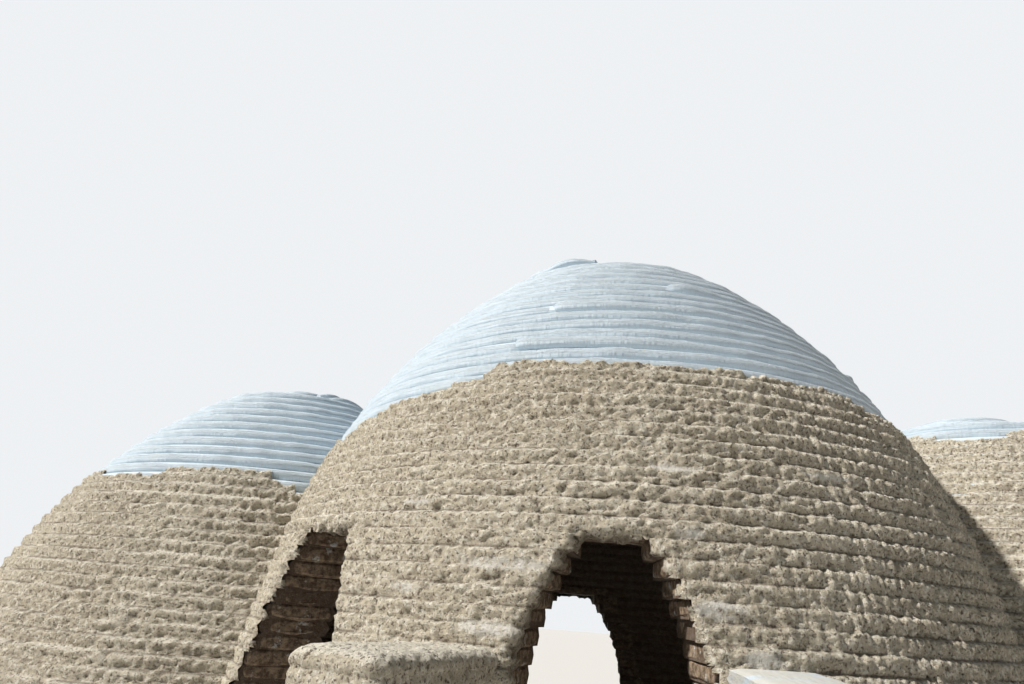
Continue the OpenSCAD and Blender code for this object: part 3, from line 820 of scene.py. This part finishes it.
def bare_runs(k, line, gaps):
    """Spans of turns, in degrees, where course k shows above the mud's top line and
    outside the gaps"""
    turns = np.arange(-180, 181, 1.0)
    # A course that the ragged edge may bare is laid too
    bare = np.interp(turns, *np.array(line, dtype=float).T) < k + 1.3
    for start, end in gaps:
        bare &= ~((turns > start) & (turns < end))
    steps = np.flatnonzero(np.diff(np.concatenate([[0], bare, [0]])))
    shortest, overlap = 5, 2
    return [(turns[a] - overlap, turns[b - 1] + overlap)
            for a, b in zip(steps[::2], steps[1::2]) if b - a >= shortest]


def hidden_gaps(dome, k):
    """Span of turns, in degrees, where course k of a side dome is inside the middle one"""
    if dome is MIDDLE:
        return ()
    radius, other = float(dome.course_radius(k)), float(MIDDLE.course_radius(k))
    apart = math.hypot(dome.x, dome.y)
    share = (apart ** 2 + radius ** 2 - other ** 2) / (2 * apart * radius)
    if abs(share) >= 1:
        return ()
    overlap = 3.0
    hidden = math.degrees(math.acos(share)) - overlap
    towards = math.degrees(math.atan2(-dome.x, dome.y))
    return [(towards - hidden, towards + hidden)]


def tucked_course(k, inset, step):
    """Spline of a course whose first end lies over its last one, with a gap below it"""
    start = TUCKED[k]
    points, size, closed = course_line(MIDDLE, k, start, start + 364, inset, step)
    run = np.linspace(0, 1, len(points))
    # The first end stands 24 mm out and 16 mm up, and the last one is as much as 12 mm in
    outwards = 0.024 * np.exp(-run * 34) - 0.012 * np.exp(-(1 - run) * 60)
    upwards = 0.016 * np.exp(-run * 22) - 0.008 * np.exp(-(1 - run) * 40)
    out = points[:, :2] / np.linalg.norm(points[:, :2], axis=1, keepdims=True)
    points[:, :2] += out * outwards[:, None]
    points[:, 2] += upwards
    return points, size, closed


class DOMEHOUSE_OT_bare_courses(bpy.types.Operator):
    """Coils the bare bag courses above the mud"""
    bl_idname = "domehouse.bare_courses"
    bl_label = "Bare bag courses"

    def execute(self, context):
        depth = sizes().bag_depth
        step = sizes().bag_step * COARSE
        proud = 0.009
        inset = depth / 2 - proud
        for dome, line, first, name in ((MIDDLE, TOP_LINE, 36, "bags_middle"),
                                        (LEFT, LEFT_TOP, 33, "bags_left"),
                                        (RIGHT, RIGHT_TOP, 42, "bags_right")):
            splines = []
            for k in range(first, dome.courses):
                if dome is MIDDLE and k in TUCKED:
                    splines.append(tucked_course(k, inset, step))
                    continue
                runs = bare_runs(k, line, hidden_gaps(dome, k))
                if len(runs) == 1 and runs[0][0] < -180 and runs[0][1] > 180:
                    splines.append(course_line(dome, k, 180, 540, inset, step, closed=True))
                    continue
                splines.extend(course_line(dome, k, *run, inset, step) for run in runs)
            fill_bags(name, splines, depth, COURSE + 0.003, "woven_polypropylene", lump=0.013)
        return {"FINISHED"}


def spiral_line(dome, start_r, end_r, pitch, level):
    """Spline of a flat coil that winds in from one radius to another"""
    turns = (start_r - end_r) / pitch
    count = int(turns * math.pi * (start_r + end_r) / (COIL_STEP * COARSE)) + 8
    share = np.linspace(0, 1, count)
    radius = start_r + (end_r - start_r) * share
    turn = COIL_START + share * turns * 2 * math.pi
    points = dome.place(turn, radius, level + 0 * share)
    points[:, 2] += 0.002 * noise(points, 0.15, 61)
    return points, rounded_ends(1.0 + 0.04 * noise(points, 0.2, 62)), False


class DOMEHOUSE_OT_crowns(bpy.types.Operator):
    """Closes the domes with their coils, and lays the spare bag on the middle one"""
    bl_idname = "domehouse.crowns"
    bl_label = "Crowns"

    def execute(self, context):
        for dome, node in ((MIDDLE, "crown_coil"), (LEFT, "left_dome_crown"),
                           (RIGHT, "right_dome_crown")):
            top = dome.courses * COURSE
            splines = []
            # The rim, then the raised coil inside it
            for level, outer in ((top + COURSE / 2, dome.crown_r),
                                 (top + 1.5 * COURSE, dome.crown_r - CROWN_RIM)):
                pitch = outer / max(int(round(outer / COIL_BAG)), 1)
                splines.append(spiral_line(dome, outer - pitch / 2, pitch * 0.12, pitch,
                                           level))
                # The bag's tail, tucked in below the coil's middle
                run = np.linspace(-0.05, 0.05, 6)
                splines.append((dome.place(COIL_START, run, level - 0.010 + 0 * run),
                                rounded_ends(np.full(6, 0.85)), False))
            fill_bags("coil_" + node, splines, COIL_BAG * 1.06, COURSE, "woven_polypropylene",
                      [node], squareness=0.45, lump=0.005, seed=4)
        # The spare bag, half filled, with its mouth gathered
        level = (MIDDLE.courses + 1) * COURSE
        rim = MIDDLE.crown_r - CROWN_RIM / 2
        turn = np.radians(np.linspace(*SPARE_SPAN, 44))
        share = np.linspace(0, 1, len(turn))
        size = 1.0 + 0.07 * np.sin(share * 19)
        # One end is rounded and the other is drawn in to its neck
        size *= smooth(-0.02, 0.06, share) * (1 - 0.55 * smooth(0.82, 1.0, share))
        points = MIDDLE.place(turn, rim + 0.012 * np.sin(share * 7),
                              level + SPARE_BAG / 2 * np.clip(size, 0.4, 1.0))
        fill_bags("spare_bag", [(points, np.clip(size, 0.12, 2), False)], CROWN_RIM * 0.94,
                  SPARE_BAG, "woven_polypropylene", ["crown_bag"], squareness=0.62,
                  wrinkle=0.014, seed=5)
        return {"FINISHED"}


class DOMEHOUSE_OT_bag_ends(bpy.types.Operator):
    """Ends the bags in steps beside each doorway and closes the arches"""
    bl_idname = "domehouse.bag_ends"
    bl_label = "Bag ends"

    def execute(self, context):
        rng = np.random.default_rng(7)
        names = ("front", "left", "back", "left_inner", "right_inner")
        for name, door in zip(names, OUTER_DOORS + INNER_DOORS):
            splines = []
            for k in range(door.rise):
                half = float(door.half_angle(k))
                radius = float(MIDDLE.course_radius(k))
                for side in (-1, 1):
                    proud = rng.uniform(0.0, 0.012)
                    far = rng.uniform(0.15, 0.22)
                    # The torn end stands proud of the doorway's step and is blunt
                    ends = [-proud, -proud + 0.006, -proud + 0.018, 0.035]
                    along = np.array(ends + [0.075, 0.5 * far + 0.05, far])
                    if side > 0:
                        along = along[::-1]
                    turn = door.turn + side * (half + along / radius)
                    size = np.interp(along, ends, [0.62, 0.84, 0.95, 1.0])
                    lift = rng.uniform(-0.003, 0.003)
                    inset = BAG_WIDTH / 2 + rng.uniform(-0.006, 0.004)
                    points = MIDDLE.place(turn, radius - inset,
                                          (k + 0.5) * COURSE + lift + 0 * turn)
                    splines.append((points, size, False))
            # The bag that closes the arch, and rests on the ends at either side
            rest = 0.07
            half = float(door.half_angle(door.rise - 1)) + rest
            turn = door.turn + np.linspace(-half, half, 12)
            radius = float(MIDDLE.course_radius(door.rise)) - BAG_WIDTH / 2
            points = MIDDLE.place(turn, radius, (door.rise + 0.5) * COURSE - 0.002 + 0 * turn)
            splines.append((points, np.ones(len(turn)), False))
            # The ends at the front and left doorways are torn, with more scraps, and get the
            # paler, sunlit copy of the earth: painted light
            torn = name in ("front", "left")
            fill_bags("bag_ends_" + name, splines, BAG_WIDTH + 0.004, COURSE + 0.002,
                      "torn_bag_on_earth" if torn else "earth_stained_bag",
                      squareness=0.40, wrinkle=0.013, lump=0.026, seed=3)
        return {"FINISHED"}


# Wing walls

# The mud over the top of the left wing wall: how far in from its side, its share of the
# height, and how much it faces up
WING_TOP = [(0.000, 0.12, 0.0), (-0.002, 0.24, 0.0), (-0.002, 0.36, 0.0), (0.000, 0.48, 0.1),
            (0.005, 0.60, 0.2), (0.012, 0.71, 0.35), (0.021, 0.81, 0.5), (0.032, 0.89, 0.7),
            (0.045, 0.95, 0.85), (0.060, 0.985, 1.0), (0.077, 1.0, 1.0), (0.096, 1.0, 1.0),
            (0.130, 1.0, 1.0), (0.164, 1.0, 1.0)]
# How far the mud runs back, how far inside the dome's bags it is kept, how far its end
# stays within the solid's, and its rows of points to a course
WING_BACK, WING_INSIDE = 0.20, 0.05
WING_WITHIN = 0.004
WING_ROWS = 7
# Depths of the mud's lumps and clods, and how far it is drawn in for them
WING_LUMP, WING_CLOD, WING_DRAWN = 0.005, 0.0075, 0.004


def wing_place(left):
    """Matrix from a wing wall's own axes: it runs out along -Y"""
    root = -float(MIDDLE.course_radius(WING_COURSES))
    half = WING_WIDTH / 2 + COAT
    if left:
        jamb = Matrix.Translation((-DOOR_HALF, root, 0))
        flare = Matrix.Rotation(-WING_FLARE, 4, "Z")
        return jamb @ flare @ Matrix.Translation((-half, 0, 0))
    return Matrix.Translation((DOOR_HALF + half, root, 0))


def wing_outline(half, out, corner, step):
    """Outline of a wing wall from its root, round its end and back: points and normals"""
    points, normals = [], []

    def straight(a, b, normal):
        count = max(int(math.dist(a, b) / step), 2)
        for share in np.linspace(0, 1, count, endpoint=False):
            points.append((a[0] + (b[0] - a[0]) * share, a[1] + (b[1] - a[1]) * share))
            normals.append(normal)

    def bend(centre, start):
        count = max(int(corner * math.pi / 2 / step), 5)
        for angle in np.linspace(start, start + math.pi / 2, count, endpoint=False):
            points.append((centre[0] + corner * math.cos(angle),
                           centre[1] + corner * math.sin(angle)))
            normals.append((math.cos(angle), math.sin(angle)))

    straight((-half, WING_BACK), (-half, -out + corner), (-1, 0))
    bend((-half + corner, -out + corner), math.pi)
    straight((-half + corner, -out), (half - corner, -out), (0, -1))
    bend((half - corner, -out + corner), 1.5 * math.pi)
    straight((half, -out + corner), (half, WING_BACK), (1, 0))
    points.append((half, WING_BACK))
    normals.append((1, 0))
    return np.array(points), np.array(normals)


def wing_mud(name, left, node, column, crisp):
    """Mud round a wing wall, and over its top if it is the left one. The crisper it is,
    the deeper its grooves"""
    half = WING_WIDTH / 2 + COAT
    out = WING_OUT + COAT - WING_WITHIN
    outline, normals = wing_outline(half, out, 0.050 if left else half * 0.9, column)
    rises = np.linspace(0, WING_COURSES, WING_COURSES * WING_ROWS + 1)
    share = rises - np.floor(rises + 1e-6)
    inset = COAT * (1 - GROOVE_SHARE) * crisp * np.abs(2 * share - 1) ** 2.6
    height = rises * COURSE
    facing = np.zeros(len(rises))
    if left:
        cap = np.array(WING_TOP)
        inset = np.concatenate([inset, cap[:, 0]])
        height = np.concatenate([height, (WING_COURSES + cap[:, 1]) * COURSE])
        facing = np.concatenate([facing, cap[:, 2]])
    spine = np.stack([0 * outline[:, 0], np.clip(outline[:, 1], -out + half, WING_BACK)],
                     axis=-1)
    xy = outline[None] + (spine - outline)[None] * (inset / half)[:, None, None]
    z = np.broadcast_to(height[:, None], xy.shape[:2])
    grid = np.concatenate([xy, z[..., None]], axis=-1)
    up = np.broadcast_to(facing[:, None, None], xy.shape[:2] + (1,))
    away = np.concatenate([normals[None] * (1 - up), up], axis=-1)
    lumps = noise(grid, *WING_LUMPS)
    torn = np.minimum(noise(grid, *WING_CLODS) * 1.2, 0.3) + 0.5 * noise(grid, *WING_CRUMBS)
    push = WING_LUMP * lumps + WING_CLOD * torn - WING_DRAWN
    # The foot, and the seam along the top, stay where they are
    push[0] = 0.0
    if left:
        push[-1] = 0.0
    grid = grid + away * push[..., None]
    # Painted shade between the wing's clods and lumps
    hollow_shade = np.clip(0.42 - 0.5 * torn - 0.2 * lumps, 0, 1)
    matrix = np.array(wing_place(left))
    grid = grid @ matrix[:3, :3].T + matrix[:3, 3]
    mud_sheet(name, grid, MIDDLE.outside(grid) > -WING_INSIDE, hollow_shade, 0 * hollow_shade, [node])


class DOMEHOUSE_OT_wing_walls(bpy.types.Operator):
    """Muds the two wing walls and lays the bare bag on the right one"""
    bl_idname = "domehouse.wing_walls"
    bl_label = "Wing walls"

    def execute(self, context):
        column = sizes().column * COARSE
        wing_mud("mud_left_wing", True, "left_wing_coat", column, 0.35)
        wing_mud("mud_right_wing", False, "right_wing_coat", column, 0.8)
        matrix = np.array(wing_place(False))
        wide = WING_WIDTH + 2 * COAT
        # From inside the dome to the wall's round end, where the bag narrows and droops
        back, short, step, droop = 0.15, 0.03, 0.02, 0.012
        run = np.arange(back, -(WING_OUT - short), -step)
        end = run + WING_OUT
        size = np.sqrt(np.clip(1 - (1 - np.clip(end / (wide / 2), 0, 1)) ** 2, 0.02, 1))
        z = (WING_COURSES + 0.5) * COURSE
        local = np.stack([0 * run, run, z - (1 - size) * droop], axis=-1)
        points = local @ matrix[:3, :3].T + matrix[:3, 3]
        fill_bags("bag_right_wing", [(points, size, False)], wide - 0.006, COURSE,
                  "dusty_polypropylene", ["right_wing_cap"], squareness=0.5, wrinkle=0.010,
                  lump=0.014, seed=8)
        return {"FINISHED"}


class DOMEHOUSE_OT_wall_finish(bpy.types.Operator):
    """Gives the CAD walls that still show the finish of used bags"""
    bl_idname = "domehouse.wall_finish"
    bl_label = "Wall finish"

    def execute(self, context):
        walls = [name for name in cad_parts
                 if name.endswith(("pier", "haunch", "wall", "vault", "courses"))]
        if not walls:
            raise RuntimeError("the frame has no walls")
        for name in walls:
            piece = bpy.data.objects[name]
            bare = name.endswith(("vault", "courses"))
            # Walls other than the bare courses get the inner bags, whose earth is a darker,
            # shaded copy: painted shade
            finish = material("woven_polypropylene" if bare else "inner_bag")
            for slot in piece.material_slots:
                slot.material = finish
        return {"FINISHED"}


class DOMEHOUSE_OT_stage(bpy.types.Operator):
    """Sets the camera, the floor and the light"""
    bl_idname = "domehouse.stage"
    bl_label = "Stage"

    def execute(self, context):
        scene = context.scene
        # Where the photograph was taken from, with its focal length and width in pixels
        pitch, yaw, roll = math.radians(20.6), math.radians(9.0), math.radians(4.34)
        out, eye_height = -4.4, 1.6
        focal_length, frame_width = 701.0, 1024.0
        data = bpy.data.cameras.new("camera")
        data.sensor_width = 36.0
        data.lens = focal_length / frame_width * data.sensor_width
        ahead = Vector((-math.sin(yaw) * math.cos(pitch), math.cos(yaw) * math.cos(pitch),
                        math.sin(pitch)))
        level = Vector((math.cos(yaw), math.sin(yaw), 0.0))
        right = level * math.cos(roll) + level.cross(ahead) * math.sin(roll)
        up = right.cross(ahead)
        camera = bpy.data.objects.new("camera", data)
        camera.matrix_world = Matrix((
            (right.x, up.x, -ahead.x, 0.0), (right.y, up.y, -ahead.y, out),
            (right.z, up.z, -ahead.z, eye_height), (0.0, 0.0, 0.0, 1.0)))
        scene.camera = camera

        mesh = bpy.data.meshes.new("floor")
        far = 60
        mesh.from_pydata([(-far, -far, 0), (far, -far, 0), (far, far, 0), (-far, far, 0)], [],
                         [(0, 1, 2, 3)])
        mesh.materials.append(material("studio_floor"))
        floor = bpy.data.objects.new("floor", mesh)

        # A large key from the upper left, in front, and an even fill from all round
        sun = bpy.data.lights.new("key", "SUN")
        sun.energy = 5.5
        sun.angle = math.radians(3.0)
        sun.color = (1.0, 0.965, 0.92)
        key = bpy.data.objects.new("key", sun)
        turn, height = math.radians(-64.0), math.radians(44.0)
        towards = Vector((math.sin(turn) * math.cos(height),
                          -math.cos(turn) * math.cos(height), math.sin(height)))
        key.rotation_euler = towards.to_track_quat("Z", "Y").to_euler()
        for placed in (camera, floor, key):
            scene.collection.objects.link(placed)

        world = bpy.data.worlds.new("studio")
        scene.world = world
        world.use_nodes = True
        tree = world.node_tree
        tree.nodes.clear()
        fill = add(tree, "ShaderNodeBackground", None, (0.86, 0.93, 1.0, 1.0), 0.19)
        seen = add(tree, "ShaderNodeBackground", None, (0.86, 0.88, 0.90, 1.0), 1.0)
        path = add(tree, "ShaderNodeLightPath").outputs
        either = add(tree, "ShaderNodeMath", {"operation": "MAXIMUM"},
                     path["Is Camera Ray"], path["Is Glossy Ray"])
        mixed = add(tree, "ShaderNodeMixShader", None, either.outputs[0], fill.outputs[0],
                    seen.outputs[0])
        add(tree, "ShaderNodeOutputWorld", None, mixed.outputs[0])
        scene.view_settings.view_transform = "Standard"
        return {"FINISHED"}


OPERATORS = (DOMEHOUSE_OT_mud_coat, DOMEHOUSE_OT_bare_courses, DOMEHOUSE_OT_crowns,
             DOMEHOUSE_OT_bag_ends, DOMEHOUSE_OT_wing_walls, DOMEHOUSE_OT_wall_finish,
             DOMEHOUSE_OT_stage)


class DOMEHOUSE_PT_panel(bpy.types.Panel):
    """Lists the sizes, the colours and the pieces of the dome house"""
    bl_label = "Dome House"
    bl_idname = "DOMEHOUSE_PT_panel"
    bl_space_type = "VIEW_3D"
    bl_region_type = "UI"
    bl_category = "Dome House"

    def draw(self, context):
        house = context.scene.dome_house
        for group in (house.sizes, house.colours):
            box = self.layout.box()
            for name in group.__annotations__:
                box.prop(group, name)
        for operator in OPERATORS:
            self.layout.operator(operator.bl_idname)


CLASSES = (DomeHouseSizes, DomeHouseColours, DomeHouse, *OPERATORS, DOMEHOUSE_PT_panel)


def register():
    for cls in CLASSES:
        bpy.utils.register_class(cls)
    bpy.types.Scene.dome_house = bpy.props.PointerProperty(
        type=DomeHouse, name="Dome house", description="Sizes and colours of the dome house")


def unregister():
    del bpy.types.Scene.dome_house
    for cls in reversed(CLASSES):
        bpy.utils.unregister_class(cls)


def main():
    register()
    bpy.ops.domehouse.mud_coat()
    bpy.ops.domehouse.bare_courses()
    bpy.ops.domehouse.crowns()
    bpy.ops.domehouse.bag_ends()
    bpy.ops.domehouse.wing_walls()
    bpy.ops.domehouse.wall_finish()
    bpy.ops.domehouse.stage()


if __name__ == "__main__":
    main()
